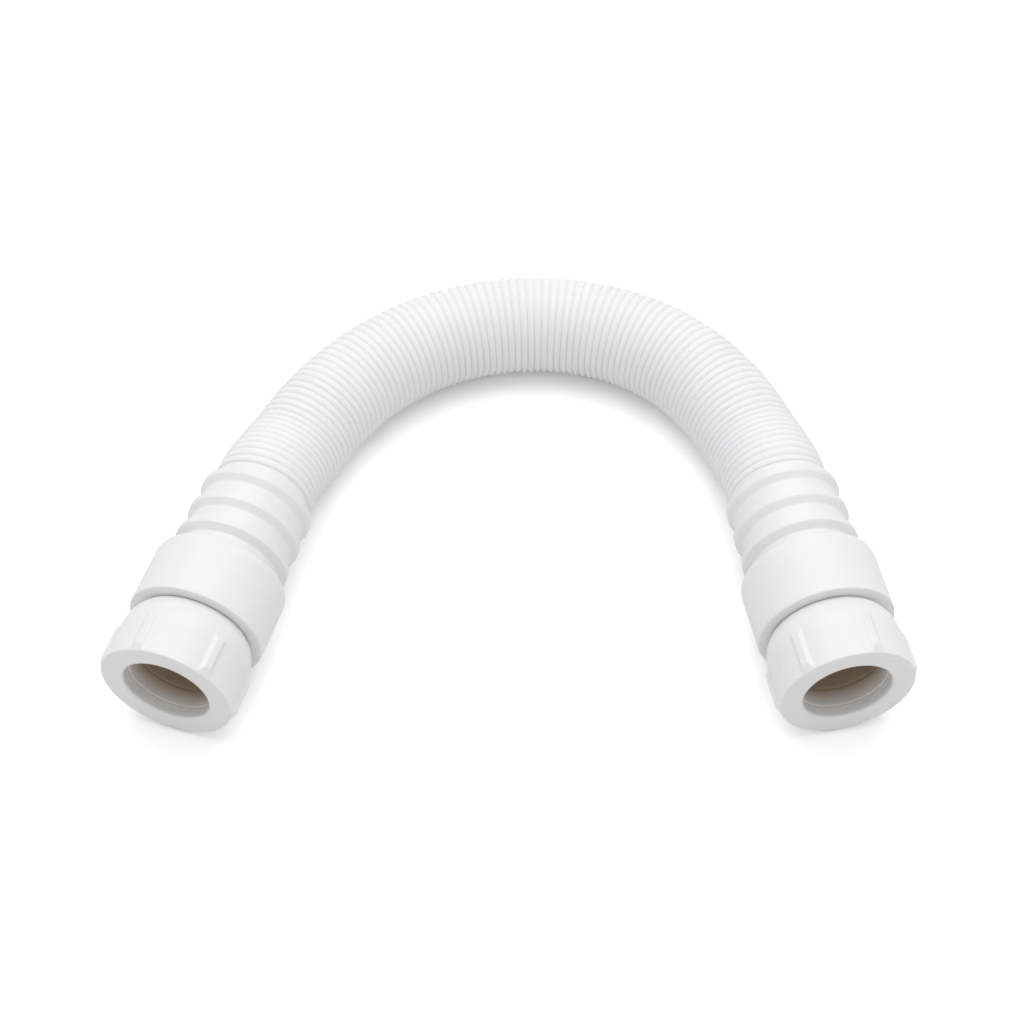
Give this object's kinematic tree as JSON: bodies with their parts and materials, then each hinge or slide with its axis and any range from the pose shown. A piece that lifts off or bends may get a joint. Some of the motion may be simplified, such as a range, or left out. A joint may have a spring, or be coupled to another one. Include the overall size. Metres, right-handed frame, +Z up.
{
  "type": "flexible waste hose with compression nuts",
  "caption": "Ribbed flexible waste hose bent into an arch, with a ribbed cuff, a socket body and a hand-turned compression nut at each end.",
  "frame": {"origin": "on the floor below the middle of the hose's box, as it lies", "axes": "+X from the left end to the right end, +Y from the open ends towards the arch, +Z up"},
  "size_m": [0.379, 0.2714, 0.0668],
  "materials": {
    "hose_plastic": "white semi-matt flexible plastic with fine rings",
    "fitting_plastic": "white satin moulded plastic",
    "nut_plastic": "white satin moulded plastic",
    "washer_plastic": "white slippery plastic",
    "seal_rubber": "matt rubber"
  },
  "bodies": {
    "hose_and_fittings": {"hose": "hose_plastic", "left_cuff": "fitting_plastic", "left_body": "fitting_plastic", "left_seal": "seal_rubber", "right_cuff": "fitting_plastic", "right_body": "fitting_plastic", "right_seal": "seal_rubber"},
    "left_washer": {"left_washer": "washer_plastic"},
    "left_nut": {"left_nut": "nut_plastic"},
    "right_washer": {"right_washer": "washer_plastic"},
    "right_nut": {"right_nut": "nut_plastic"}
  },
  "joints": [
    {"name": "left_nut_travel", "type": "slide", "parent": "hose_and_fittings", "child": "left_washer", "axis": [-0.299, -0.9542, 0], "range_m": [0, 0.0081]},
    {"name": "left_nut_turn", "type": "hinge", "parent": "left_washer", "child": "left_nut", "pos_m": [-0.15859, -0.1262, 0.0334], "axis": [-0.299, -0.9542, 0], "range_deg": [0, 720]},
    {"name": "right_nut_travel", "type": "slide", "parent": "hose_and_fittings", "child": "right_washer", "axis": [0.1917, -0.9815, 0], "range_m": [0, 0.0081]},
    {"name": "right_nut_turn", "type": "hinge", "parent": "right_washer", "child": "right_nut", "pos_m": [0.15724, -0.12655, 0.0334], "axis": [0.1917, -0.9815, 0], "range_deg": [0, 720]}
  ],
  "couplings": [
    {"joint": "left_nut_travel", "follows": "left_nut_turn", "m_per_rad": 0.00063662},
    {"joint": "right_nut_travel", "follows": "right_nut_turn", "m_per_rad": 0.00063662}
  ]
}
